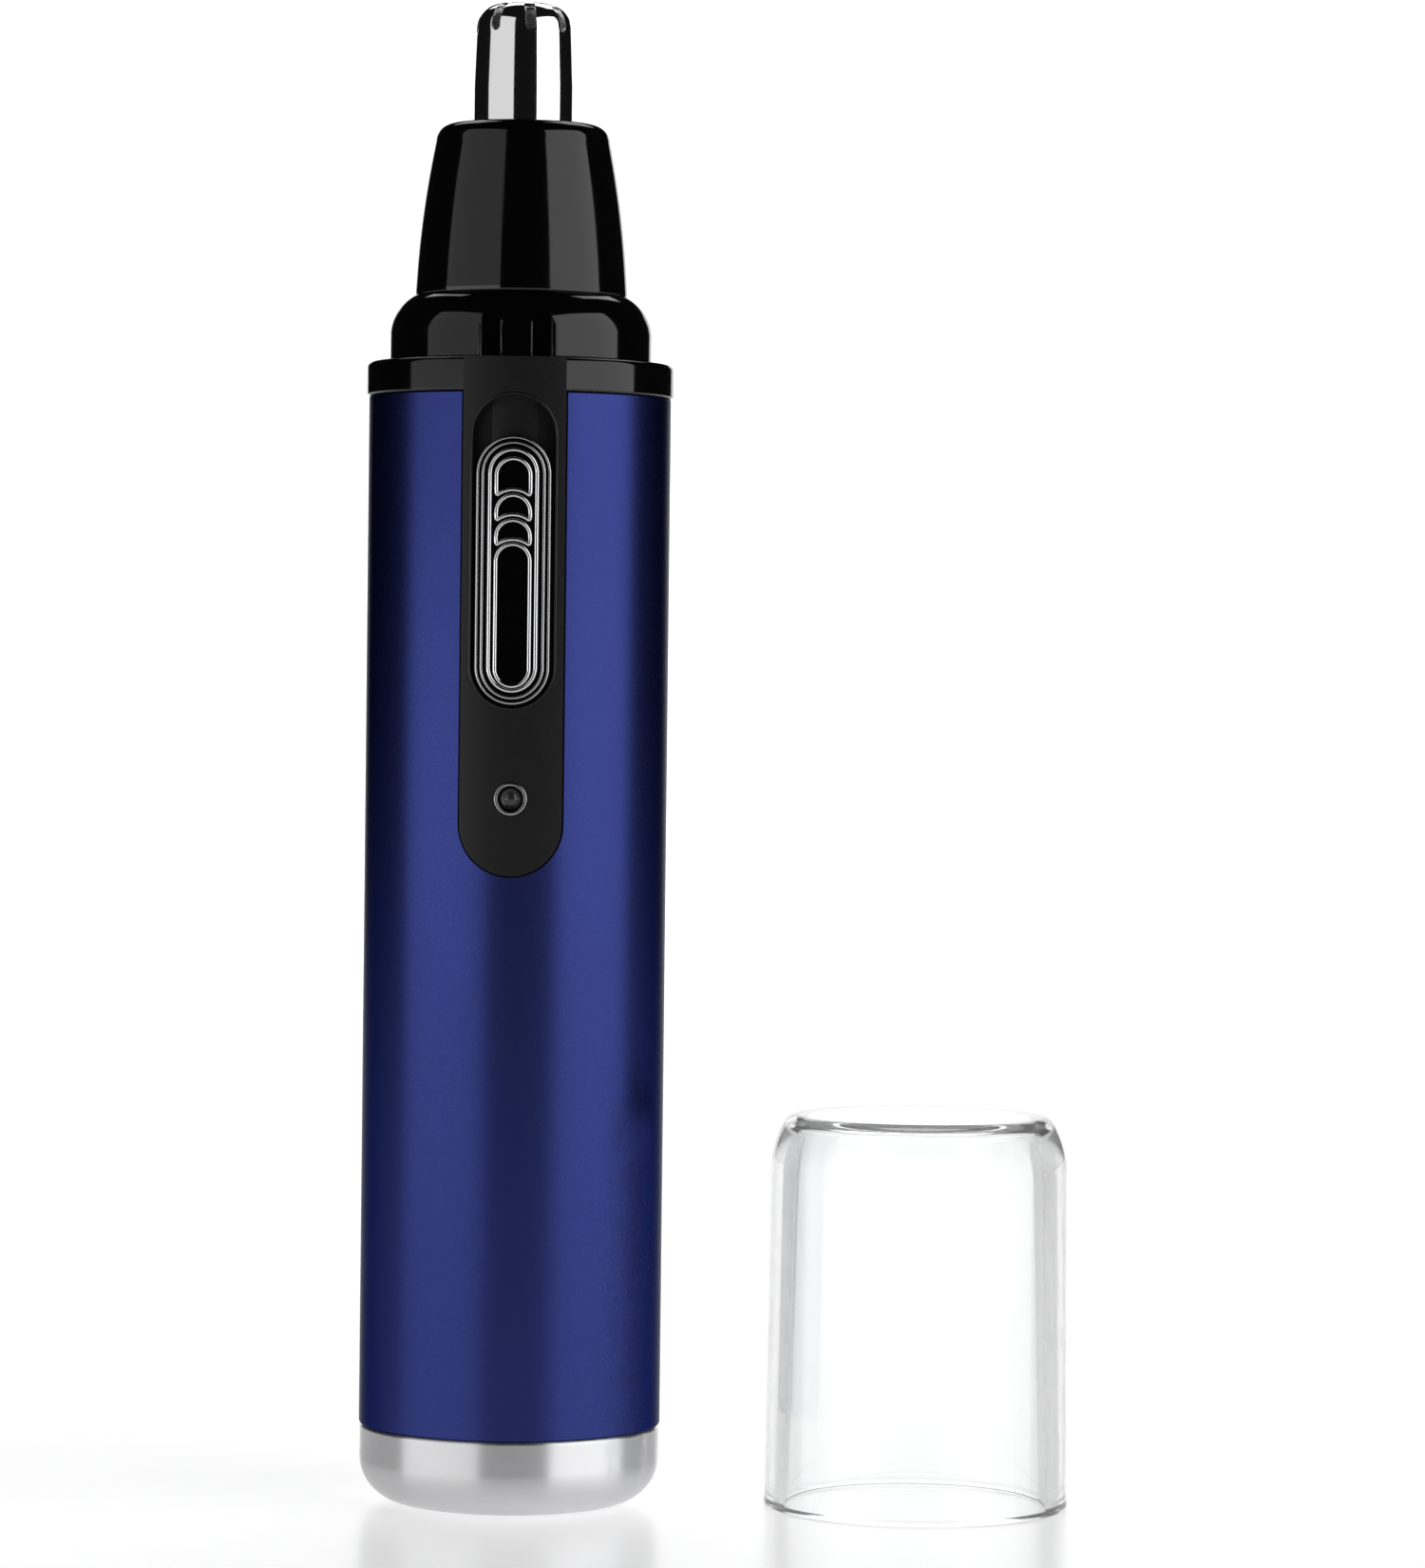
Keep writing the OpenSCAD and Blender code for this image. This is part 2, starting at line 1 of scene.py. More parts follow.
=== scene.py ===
import json
from math import acos, asin, atan2, cos, degrees, hypot, pi, radians, sin, sqrt, tan

import bmesh
import bpy
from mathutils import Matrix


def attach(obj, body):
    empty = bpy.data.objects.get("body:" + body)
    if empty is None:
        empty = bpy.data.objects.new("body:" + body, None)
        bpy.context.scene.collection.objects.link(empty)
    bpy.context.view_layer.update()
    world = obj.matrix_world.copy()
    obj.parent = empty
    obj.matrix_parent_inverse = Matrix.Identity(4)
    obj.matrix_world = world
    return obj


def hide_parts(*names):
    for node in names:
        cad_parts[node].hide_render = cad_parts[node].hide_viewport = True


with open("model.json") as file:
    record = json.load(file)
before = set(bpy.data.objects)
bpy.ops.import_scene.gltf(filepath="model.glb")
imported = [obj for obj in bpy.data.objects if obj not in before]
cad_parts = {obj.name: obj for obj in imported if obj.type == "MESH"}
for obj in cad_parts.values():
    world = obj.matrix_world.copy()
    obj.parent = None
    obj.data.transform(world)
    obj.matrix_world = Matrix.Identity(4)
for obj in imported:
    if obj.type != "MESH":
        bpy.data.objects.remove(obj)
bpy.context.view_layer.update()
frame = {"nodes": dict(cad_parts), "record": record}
scene = bpy.context.scene
MM = 0.001

# ---- camera ----

camera = bpy.data.objects.new("camera", bpy.data.cameras.new("camera"))
scene.collection.objects.link(camera)
scene.camera = camera
camera.data.sensor_width = 36
camera.data.lens = 124.5
camera.data.clip_start, camera.data.clip_end = 0.01, 20
camera.location = (0.01813, -0.504, 0.0776)
camera.rotation_mode = "XYZ"
camera.rotation_euler = (radians(90 - 1.22), radians(-0.668), 0)

# ---- helpers: all lengths are in millimetres ----

FINE = 256  # sides of the large turned pieces
LARGE_ROUND = 1.5  # a corner with a larger radius than this gets three times the steps


def mesh(name, verts, faces):
    """A mesh given in millimetres, with its normals outwards."""
    me = bpy.data.meshes.new(name)
    me.from_pydata([(x * MM, y * MM, z * MM) for x, y, z in verts], [], faces)
    bm = bmesh.new()
    bm.from_mesh(me)
    bmesh.ops.remove_doubles(bm, verts=bm.verts, dist=1e-7)
    bmesh.ops.recalc_face_normals(bm, faces=bm.faces)
    bm.to_mesh(me)
    bm.free()
    ob = bpy.data.objects.new(name, me)
    scene.collection.objects.link(ob)
    return ob


def arc(cu, cv, radius, start, end, n):
    """The n + 1 points of an arc about (cu, cv), with its angles in degrees."""
    turns = [radians(start + (end - start) * k / n) for k in range(n + 1)]
    return [(cu + radius * cos(t), cv + radius * sin(t)) for t in turns]


def rounded(corners, n=7):
    """A closed outline whose corners (u, v, radius) are rounded, with n steps to a quarter turn."""
    out = []
    m = len(corners)
    for i, (x, y, rad) in enumerate(corners):
        if rad <= 0:
            out.append((x, y))
            continue
        px, py, _ = corners[i - 1]
        nx, ny, _ = corners[(i + 1) % m]
        ux, uy = px - x, py - y
        vx, vy = nx - x, ny - y
        lu, lv = hypot(ux, uy), hypot(vx, vy)
        ux, uy, vx, vy = ux / lu, uy / lu, vx / lv, vy / lv
        half = acos(max(-1, min(1, ux * vx + uy * vy))) / 2
        reach, out_d = rad / tan(half), rad / sin(half)
        bx, by = ux + vx, uy + vy
        lb = hypot(bx, by)
        cx, cy = x + bx / lb * out_d, y + by / lb * out_d
        first = atan2(y + uy * reach - cy, x + ux * reach - cx)
        last = atan2(y + vy * reach - cy, x + vx * reach - cx)
        turn = (last - first + pi) % (2 * pi) - pi
        steps = max(2, round(n * abs(turn) / (pi / 2)))
        if rad > LARGE_ROUND:
            steps *= 3
        out += arc(cx, cy, rad, degrees(first), degrees(first + turn), steps)
    return out


def lathe(name, profile, n=FINE, x=0.0, start=0.0, end=360.0):
    """Turns a closed (radius, height) outline about the upright line at x."""
    full = end - start >= 360
    cols = n if full else n + 1
    verts, faces, m = [], [], len(profile)
    for i in range(cols):
        a = radians(start + (end - start) * i / n)
        verts += [(x + r * cos(a), r * sin(a), z) for r, z in profile]
    for i in range(n):
        j = (i + 1) % cols
        for k in range(m):
            k2 = (k + 1) % m
            if profile[k][0] < 1e-6 and profile[k2][0] < 1e-6:
                continue
            quad = [i * m + k, j * m + k, j * m + k2, i * m + k2]
            if profile[k][0] < 1e-6:
                quad = [i * m + k, j * m + k2, i * m + k2]
            elif profile[k2][0] < 1e-6:
                quad = [i * m + k, j * m + k, i * m + k2]
            faces.append(quad)
    if not full:
        faces += [list(range(m)), [(cols - 1) * m + k for k in reversed(range(m))]]
    return mesh(name, verts, faces)


def box(name, low, high):
    """A box between two opposite corners."""
    verts = [(x, y, z) for x in (low[0], high[0]) for y in (low[1], high[1]) for z in (low[2], high[2])]
    faces = [(0, 1, 3, 2), (4, 6, 7, 5), (0, 4, 5, 1), (2, 3, 7, 6), (0, 2, 6, 4), (1, 5, 7, 3)]
    return mesh(name, verts, faces)


def rod(name, at, axis, r, length, n=64):
    """A cylinder from at along the axis X or Y."""
    verts = []
    for e in (0, length):
        for u, v in arc(0, 0, r, 0, 360 * (n - 1) / n, n - 1):
            off = (e, u, v) if axis == "X" else (u, e, v)
            verts.append(tuple(p + q for p, q in zip(at, off)))
    faces = [(i, (i + 1) % n, n + (i + 1) % n, n + i) for i in range(n)]
    faces += [tuple(reversed(range(n))), tuple(range(n, 2 * n))]
    return mesh(name, verts, faces)


def carve(ob, tool):
    """Cuts the tool out of a piece and removes the tool."""
    mod = ob.modifiers.new("cut", "BOOLEAN")
    mod.operation, mod.object, mod.solver = "DIFFERENCE", tool, "EXACT"
    deps = bpy.context.evaluated_depsgraph_get()
    me = bpy.data.meshes.new_from_object(ob.evaluated_get(deps))
    ob.modifiers.clear()
    ob.data = me
    bpy.data.objects.remove(tool)


def finished(ob, mat, body, nodes=(), edge=0.0, angle=32, segments=3):
    """Gives a piece its material, bevel, shading and body, and hides the CAD nodes that it replaces."""
    ob.data.materials.clear()
    ob.data.materials.append(mat)
    if edge:
        bev = ob.modifiers.new("edge", "BEVEL")
        bev.width, bev.segments, bev.limit_method = edge * MM, segments, "ANGLE"
        bev.angle_limit, bev.use_clamp_overlap, bev.harden_normals = radians(angle), True, False
    for p in ob.data.polygons:
        p.use_smooth = True
    if not edge:
        ob.data.set_sharp_from_angle(angle=radians(angle))
    even = ob.modifiers.new("normals", "WEIGHTED_NORMAL")
    even.keep_sharp, even.weight = True, 60
    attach(ob, body)
    if nodes:
        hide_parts(*nodes)


# ---- materials ----

ACROSS = 0.25  # turns the streak across the turning marks, which run round the part
TURNED = (40, 40, 9000)  # grain of a turned part: thin rings, one above the other


def material(name, colour, alpha=1.0, metal=0.0, rough=0.4, rough_span=0.06, grain=(3000,) * 3, bump=0.0,
             tint=0.06, wide=60.0, specular=0.5, rim=1.0, ior=1.5, clear=0.0, streak=0.0):
    """A surface with fine grain in its relief and roughness, and a slow change of tone."""
    mat = bpy.data.materials.new(name)
    mat.use_nodes = True
    tree = mat.node_tree
    node, link = tree.nodes, tree.links
    shader = node["Principled BSDF"]
    shader.inputs["Metallic"].default_value = metal
    shader.inputs["Specular IOR Level"].default_value = specular
    shader.inputs["Specular Tint"].default_value = (rim, rim, rim, 1)
    shader.inputs["IOR"].default_value = ior
    shader.inputs["Anisotropic"].default_value = streak
    shader.inputs["Anisotropic Rotation"].default_value = ACROSS
    shader.inputs["Transmission Weight"].default_value = clear
    shader.inputs["Alpha"].default_value = alpha
    place = node.new("ShaderNodeTexCoord")
    stretch = node.new("ShaderNodeMapping")
    stretch.inputs["Scale"].default_value = grain
    link.new(place.outputs["Object"], stretch.inputs["Vector"])
    fine = node.new("ShaderNodeTexNoise")
    fine.inputs["Scale"].default_value = 1.0
    fine.inputs["Detail"].default_value = 3.0
    fine.inputs["Roughness"].default_value = 0.6
    link.new(stretch.outputs["Vector"], fine.inputs["Vector"])
    span = node.new("ShaderNodeMapRange")
    span.inputs["From Min"].default_value, span.inputs["From Max"].default_value = 0.3, 0.7
    span.inputs["To Min"].default_value = max(0.0, rough - rough_span / 2)
    span.inputs["To Max"].default_value = rough + rough_span / 2
    link.new(fine.outputs["Fac"], span.inputs["Value"])
    link.new(span.outputs["Result"], shader.inputs["Roughness"])
    slow = node.new("ShaderNodeTexNoise")
    slow.inputs["Scale"].default_value = wide
    slow.inputs["Detail"].default_value = 2.0
    link.new(place.outputs["Object"], slow.inputs["Vector"])
    ramp = node.new("ShaderNodeValToRGB")
    ramp.color_ramp.elements[0].position, ramp.color_ramp.elements[1].position = 0.3, 0.7
    for e, k in zip(ramp.color_ramp.elements, (1 - tint, 1 + tint)):
        e.color = (*[min(1.0, c * k) for c in colour], 1)
    link.new(slow.outputs["Fac"], ramp.inputs["Fac"])
    link.new(ramp.outputs["Color"], shader.inputs["Base Color"])
    if bump:
        relief = node.new("ShaderNodeBump")
        relief.inputs["Strength"].default_value = 0.6
        relief.inputs["Distance"].default_value = bump * MM
        link.new(fine.outputs["Fac"], relief.inputs["Height"])
        link.new(relief.outputs["Normal"], shader.inputs["Normal"])
    return mat


LOOKS = {
    "blue_anodised": dict(colour=(0.027, 0.037, 0.16), metal=1.0, rough=0.3, rough_span=0.08, rim=0.4,
                          grain=(5000,) * 3, bump=0.001, tint=0.04, wide=30),
    "satin_aluminium": dict(colour=(0.7, 0.7, 0.71), metal=1.0, rough=0.33, streak=0.92,
                            grain=TURNED, bump=0.0003, tint=0.015),
    "black_satin": dict(colour=(0.0035, 0.0035, 0.0038), rough=0.38, rough_span=0.1, specular=0.34,
                        grain=(2600,) * 3, bump=0.004),
    # a darker, less shiny copy of the satin black, laid in the switch recess as painted shade
    "black_matt_painted_shade": dict(colour=(0.002, 0.002, 0.0022), rough=0.5, rough_span=0.1, specular=0.2,
                       grain=(2600,) * 3, bump=0.004),
    "black_gloss": dict(colour=(0.0015, 0.0015, 0.0017), rough=0.08, rough_span=0.05, specular=0.42,
                        grain=(180,) * 3, bump=0.0008, wide=90),
    # the next two are darker copies of the chrome below, painted shade for the light's bezel and the switch
    # trim
    "chrome_painted_deep_shade": dict(colour=(0.42, 0.42, 0.43), metal=1.0, rough=0.2, rough_span=0.08,
                        grain=(900,) * 3, bump=0.0006, tint=0.02),
    "chrome_painted_mild_shade": dict(colour=(0.66, 0.66, 0.67), metal=1.0, rough=0.13,
                        grain=(900,) * 3, bump=0.0005, tint=0.02),
    "chrome": dict(colour=(0.86, 0.86, 0.87), metal=1.0, rough=0.07, rough_span=0.05,
                   grain=(60, 60, 5000), bump=0.0004, tint=0.01),
    "steel": dict(colour=(0.62, 0.62, 0.63), metal=1.0, rough=0.3, rough_span=0.14,
                  grain=(900, 900, 6000), bump=0.001, tint=0.04),
    "spring_steel": dict(colour=(0.5, 0.5, 0.52), metal=1.0, rough=0.25, rough_span=0.1, bump=0.0006),
    "clear_plastic": dict(colour=(0.985, 0.99, 0.99), alpha=0.9, clear=1.0, ior=1.3, rough=0.01,
                          rough_span=0.02, grain=(160, 160, 60), bump=0.0006, tint=0.004),
    # a dark dome that lets a quarter of the light through: its dark colour is painted shade for the hollow
    # behind a clear lens
    "led_clear": dict(colour=(0.03, 0.03, 0.033), clear=0.25, rough=0.06, rough_span=0.04,
                      grain=(700,) * 3, bump=0.001, tint=0.04),
    "battery_wrap": dict(colour=(0.03, 0.22, 0.1), rough=0.32, grain=(900,) * 3, bump=0.002),
    "board_green": dict(colour=(0.01, 0.12, 0.04), rough=0.35, grain=(1500,) * 3, bump=0.004),
    "component_black": dict(colour=(0.02, 0.02, 0.022), rough=0.5, bump=0.004),
    "component_tan": dict(colour=(0.45, 0.3, 0.16), rough=0.35, bump=0.003),
    "white_plastic": dict(colour=(0.74, 0.72, 0.66), rough=0.42, bump=0.004, tint=0.03),
    "copper": dict(colour=(0.6, 0.24, 0.1), metal=1.0, rough=0.3, grain=(600, 600, 5000), bump=0.004),
    "brass": dict(colour=(0.72, 0.5, 0.18), metal=1.0, rough=0.25, bump=0.001),
    "magnet": dict(colour=(0.06, 0.06, 0.065), metal=0.6, rough=0.5, bump=0.004),
    "black_rubber": dict(colour=(0.012, 0.012, 0.012), rough=0.65, bump=0.006),
}
MATS = {name: material(name, **look) for name, look in LOOKS.items()}
slot_of = {s["node"]: s["material_slot"] for s in frame["record"]["subparts"]}
for name, ob in frame["nodes"].items():
    ob.data.materials.clear()
    ob.data.materials.append(MATS[slot_of[name]])

# ---- the switch plate's curved face, a tongue in the sleeve ----

FACE_R, FACE_Y = 24.0, -14.3
FACE_COLS = 40
TONGUE, TONGUE_LOW = 4.65, 58.6


def face(x, out=0.0):
    """The tongue's curved front, moved outwards."""
    return FACE_Y + FACE_R - sqrt((FACE_R + out) ** 2 - x * x)


def plate(name, half, low, high, front, back=0.0, flat_back=None, flat_top=False):
    """A stadium in X and Z whose front and back lie at their heights out of the tongue's face.

    flat_back gives it a flat back at that Y, and flat_top a square upper end.
    """
    verts, faces = [], []
    for i in range(FACE_COLS + 1):
        x = -half * cos(pi * i / FACE_COLS)
        rise = sqrt(max(0.0, half * half - x * x))
        y = face(x, back) if flat_back is None else flat_back
        for z in (low + half - rise, high if flat_top else high - half + rise):
            verts += [(x, face(x, front), z), (x, y, z)]
    for i in range(FACE_COLS):
        a, b = 4 * i, 4 * i + 4
        faces += [(a, b, b + 2, a + 2), (a + 1, a + 3, b + 3, b + 1)]
        faces += [(a, a + 1, b + 1, b), (a + 2, b + 2, b + 3, a + 3)]
    end = 4 * FACE_COLS
    faces += [(0, 2, 3, 1), (end, end + 1, end + 3, end + 2)]
    return mesh(name, verts, faces)


# ---- sleeve ----

SLEEVE_R, SLEEVE_BORE = 14.0, 13.2
SEAM, SLEEVE_TOP = 7.3, 102.5
SLEEVE_END = SLEEVE_TOP - 0.06
NOTCH_GAP = 0.15

sleeve = lathe("sleeve_shell", rounded([
    (SLEEVE_BORE, SEAM, 0), (SLEEVE_R, SEAM, 0.15), (SLEEVE_R, SLEEVE_END, 0.1),
    (SLEEVE_BORE, SLEEVE_END, 0)]))
carve(sleeve, plate("notch", TONGUE + NOTCH_GAP, TONGUE_LOW - NOTCH_GAP, SLEEVE_TOP + 7.5, front=2,
                    flat_back=-8, flat_top=True))
finished(sleeve, MATS["blue_anodised"], "handle", ["sleeve"], angle=40)

# ---- base cap ----

BASE_R, BASE_BORE, BASE_ROUND = 13.92, 12.7, 4.2
BASE_TOP, BASE_FLOOR = SEAM - 0.05, 2.0
SOCKET_R = 3.4

base = lathe("base_shell", rounded([
    (SOCKET_R, 0, 0.15), (BASE_R, 0, BASE_ROUND), (BASE_R, BASE_TOP, 0.34), (BASE_BORE, BASE_TOP, 0),
    (BASE_BORE, BASE_FLOOR + 2.6, 0), (BASE_BORE - 1.8, BASE_FLOOR, 0), (SOCKET_R, BASE_FLOOR, 0)]))
finished(base, MATS["satin_aluminium"], "handle", ["base_cap"])

# ---- collar flange and neck, with the O-ring's groove ----

FLANGE_R, FLANGE_TOP = 14.25, 105.6
NECK_R, NECK_BORE, NECK_TOP = 8.9, 7.6, 109.8
GROOVE_R, GROOVE_LOW, GROOVE_TOP = 8.1, 106.9, 107.9
DECK_BORE, DECK_TOP = 6.9, 103.3

collar = lathe("collar_ring", rounded([
    (DECK_BORE, SLEEVE_TOP, 0), (FLANGE_R, SLEEVE_TOP, 0.22), (FLANGE_R, FLANGE_TOP, 0.5),
    (NECK_R, FLANGE_TOP, 0.1), (NECK_R, GROOVE_LOW, 0.1), (GROOVE_R, GROOVE_LOW, 0),
    (GROOVE_R, GROOVE_TOP, 0), (NECK_R, GROOVE_TOP, 0.1), (NECK_R, NECK_TOP, 0.4),
    (NECK_BORE, NECK_TOP, 0.1), (NECK_BORE, DECK_TOP, 0), (DECK_BORE, DECK_TOP, 0)]))
finished(collar, MATS["black_gloss"], "handle", ["front_frame"])

# ---- switch plate, and the half of the inner frame behind it ----

RECESS, RECESS_LOW, RECESS_TOP, RECESS_DEPTH = 3.8, 73.8, 102.2, 1.3
LIGHT_Z, LIGHT_HOLE = TONGUE_LOW + 7, 1.55
FRAME_R, FRAME_BORE, FRAME_LOW, FRAME_TOP = 13.1, 11.6, 12.3, 102.4

tongue = plate("switch_plate", TONGUE, TONGUE_LOW, FLANGE_TOP - 0.02, front=0, flat_back=-11.6, flat_top=True)
carve(tongue, plate("recess", RECESS, RECESS_LOW, RECESS_TOP, front=2, back=-RECESS_DEPTH))
carve(tongue, rod("light_hole", (0, -20, LIGHT_Z), "Y", LIGHT_HOLE, 12))
finished(tongue, MATS["black_satin"], "handle", edge=0.14)

shell = lathe("front_shell", [(FRAME_BORE, FRAME_LOW), (FRAME_R, FRAME_LOW), (FRAME_R, FRAME_TOP),
                              (FRAME_BORE, FRAME_TOP)], 96, start=180, end=360)
finished(shell, MATS["black_satin"], "handle")

# ---- charging light ----

BEZEL_R, BEZEL_BORE, BEZEL_DEEP, BEZEL_PROUD = 1.5, 1.2, 1.4, 0.06
DOME_R, DOME_SUNK, DOME_DEEP = 1.19, 0.15, 4.2


def set_in_face(ob, proud=0.0):
    """Lays a lathed piece down at the light's place, with its foot facing forwards."""
    for v in ob.data.vertices:
        x, y, z = v.co
        v.co = (x, (FACE_Y - proud) * MM + z, LIGHT_Z * MM + y)


# the bezel takes the darkest copy of chrome: painted shade
bezel = lathe("light_bezel", rounded([(BEZEL_BORE, 0, 0.05), (BEZEL_R, 0, 0.1), (BEZEL_R, BEZEL_DEEP, 0),
                                      (BEZEL_BORE, BEZEL_DEEP, 0)]), 64)
set_in_face(bezel, BEZEL_PROUD)
finished(bezel, MATS["chrome_painted_deep_shade"], "handle", ["led_bezel"])
# the dome is coloured dark: painted shade for the hollow behind the clear lens
dome = lathe("light_dome", [(0, DOME_SUNK)] + arc(0, DOME_SUNK + DOME_R, DOME_R, -82, -2, 10)
             + [(DOME_R, DOME_DEEP), (0, DOME_DEEP)], 64)
set_in_face(dome)
finished(dome, MATS["led_clear"], "handle", ["led_lens"], angle=50)

# ---- switch button in its recess ----

BUTTON, BUTTON_LOW, BUTTON_TOP = 3.4, 74.1, 98.4
BUTTON_STEPS = [(0, -1.15, 0.15), (0.5, 0.05, 0.4), (1.05, 0.3, 0.6)]  # inset, back and front of each
STEM_LOW, STEM_HIGH = (-0.9, -13.3, 83.7), (0.9, -11.2, 86.5)

for k, (inset, back, front) in enumerate(BUTTON_STEPS):
    step = plate(f"button_step_{k}", BUTTON - inset, BUTTON_LOW + inset, BUTTON_TOP - inset, front, back)
    replaced = [] if k else ["switch_button"]
    finished(step, MATS["black_gloss"], "switch", replaced, edge=0.07)
# the recess floor takes the darker copy of the black plastic: painted shade in the recess
well = plate("recess_floor", RECESS - 0.02, RECESS_LOW + 0.02, RECESS_TOP - 0.02,
             front=0.03 - RECESS_DEPTH, back=-0.01 - RECESS_DEPTH)
finished(well, MATS["black_matt_painted_shade"], "handle")
stem = box("button_stem", STEM_LOW, STEM_HIGH)
finished(stem, MATS["component_black"], "switch")

# ---- rim of the recess and the button's bright outlines ----

HALF_BEAD = [(0.15, 1), (0.36, 0.85), (0.5, 0.55), (0.5, 0)]  # across and up, as shares of its size
BEAD = [(-u, h) for u, h in reversed(HALF_BEAD)] + HALF_BEAD
RIM_OUT = 0.06
OUTLINES = [("outline_outer", 0.15, 0.26, 0.1, 0.27),  # inset, width, low and high
            ("outline_middle", 0.63, 0.26, 0.35, 0.5),
            ("outline_inner", 1.27, 0.36, 0.5, 0.78)]
CELL, CELL_ARCH = 1.55, 0.44
CELLS = [("cell_top", 96.32, 1.55, 93.6, 93.08),  # top, height of its arc, end of its sides, foot
         ("cell_second", 93.02, 1.6, 91.3, 90.82),
         ("cell_third", 90.76, 1.5, 89.1, 88.6)]
LONG_LOW, LONG_TOP = 75.78, 88.6


def bead(name, path, width, low, high):
    """A rounded line along a closed path of (x, z) points, low and high being heights out of the face."""
    n, m = len(path), len(BEAD)
    verts, faces = [], []
    for i, (x, z) in enumerate(path):
        (px, pz), (nx, nz) = path[i - 1], path[(i + 1) % n]
        a = (x - px, z - pz)
        b = (nx - x, nz - z)
        la, lb = hypot(*a) or 1, hypot(*b) or 1
        tx, tz = a[0] / la + b[0] / lb, a[1] / la + b[1] / lb
        lt = hypot(tx, tz) or 1
        tx, tz = tx / lt, tz / lt
        mitre = min(1.6, 1 / max(0.4, (tx * a[0] + tz * a[1]) / la))
        for u, h in BEAD:
            qx, qz = x - tz * u * width * mitre, z + tx * u * width * mitre
            verts.append((qx, face(qx, low + (high - low) * h), qz))
    for i in range(n):
        here, there = i * m, (i + 1) % n * m
        for k in range(m):
            k2 = (k + 1) % m
            faces.append((here + k, here + k2, there + k2, there + k))
    return mesh(name, verts, faces)


def stadium(half, low, high):
    """A closed path with round ends, half as wide as half says."""
    return arc(0, high - half, half, 0, 180, 28) + arc(0, low + half, half, 180, 360, 28)


def cell(top, tall, side, foot):
    """A round-topped cell: its top arc is tall, its sides end at side and its foot arches upwards."""
    n = 20
    crown = [(CELL * cos(pi * k / n), top - tall + tall * sin(pi * k / n)) for k in range(n + 1)]
    inner = CELL - 0.14
    r = (inner * inner + CELL_ARCH * CELL_ARCH) / (2 * CELL_ARCH)
    spread = degrees(asin(inner / r))
    left = [(-CELL, side), (-CELL + 0.02, foot + 0.1), (-CELL + 0.07, foot + 0.02)]
    right = [(-x, z) for x, z in reversed(left)]
    return crown + left + arc(0, foot + CELL_ARCH - r, r, 90 + spread, 90 - spread, n) + right


rim = bead("recess_rim", stadium(RECESS + RIM_OUT, RECESS_LOW - RIM_OUT, RECESS_TOP + RIM_OUT),
           width=0.2, low=-0.06, high=0.05)
finished(rim, MATS["black_gloss"], "handle", angle=70)

lines = [(name, stadium(BUTTON - inset, BUTTON_LOW + inset, BUTTON_TOP - inset), width, low, high)
         for name, inset, width, low, high in OUTLINES]
lines += [(name, cell(*sizes), *OUTLINES[-1][2:]) for name, *sizes in CELLS]
lines.append(("cell_long", stadium(CELL, LONG_LOW, LONG_TOP), *OUTLINES[-1][2:]))
# the trim's two outer lines take the darkest copy of chrome and the inner lines a lighter one: painted light
# and shade on one part
for k, (name, path, width, low, high) in enumerate(lines):
    line = bead(name, path, width, low, high)
    bright = MATS["chrome_painted_deep_shade" if k < 2 else "chrome_painted_mild_shade"]
    finished(line, bright, "switch", [] if k else ["switch_trim"], angle=70)

# ---- shoulder ring of the cutter head ----

RING_R, RING_LOW, RING_TOP, RING_ROUND = 12.15, 105.7, 111.75, 4.2
RING_FIT, RING_BORE, RING_STEP = 9.05, 8.5, 110.1  # wide over the neck, and narrower above the step
KEY_INNER, KEY_OUTER, KEY_LIP, KEY_DEPTH_R = 1.5, 3.1, 0.25, 11.15
KEY_LOW, KEY_TOP, KEY_REACH = 104.5, 110.5, 13.0

shoulder = arc(RING_R - RING_ROUND, RING_TOP - RING_ROUND * sin(radians(60)), RING_ROUND, 3, 57, 18)
ring = lathe("shoulder_shell", rounded(
    [(RING_FIT, RING_LOW, 0.1), (RING_R, RING_LOW, 0.12)] + [(r, z, 0) for r, z in shoulder]
    + [(RING_R - RING_ROUND / 2, RING_TOP, 0.3), (RING_BORE, RING_TOP, 0), (RING_BORE, RING_STEP, 0),
       (RING_FIT, RING_STEP, 0)]))


def key_cutter(sx, sy):
    """The tool for one key groove, whose mouth flares in two small arcs to the ring's surface."""
    outline = [(KEY_INNER, KEY_DEPTH_R)]
    for wall, side in ((KEY_INNER, 1), (KEY_OUTER, -1)):
        cx = wall - side * KEY_LIP
        cy = sqrt((RING_R - KEY_LIP) ** 2 - cx * cx)
        straight = 0 if side > 0 else 180
        bend = arc(cx, cy, KEY_LIP, straight, degrees(atan2(cy, cx)), 6)
        bend.append((bend[-1][0], KEY_REACH))
        outline += bend if side > 0 else bend[::-1]
    outline.append((KEY_OUTER, KEY_DEPTH_R))
    m = len(outline)
    verts = [(sx * x, sy * y, z) for z in (KEY_LOW, KEY_TOP) for x, y in outline]
    faces = [(k, (k + 1) % m, m + (k + 1) % m, m + k) for k in range(m)]
    faces += [tuple(range(m)), tuple(range(m, 2 * m))]
    return mesh("key", verts, faces)


for sx in (-1, 1):
    for sy in (-1, 1):
        carve(ring, key_cutter(sx, sy))
finished(ring, MATS["black_gloss"], "head", ["shoulder_ring"], angle=40)

# ---- cone of the cutter head ----

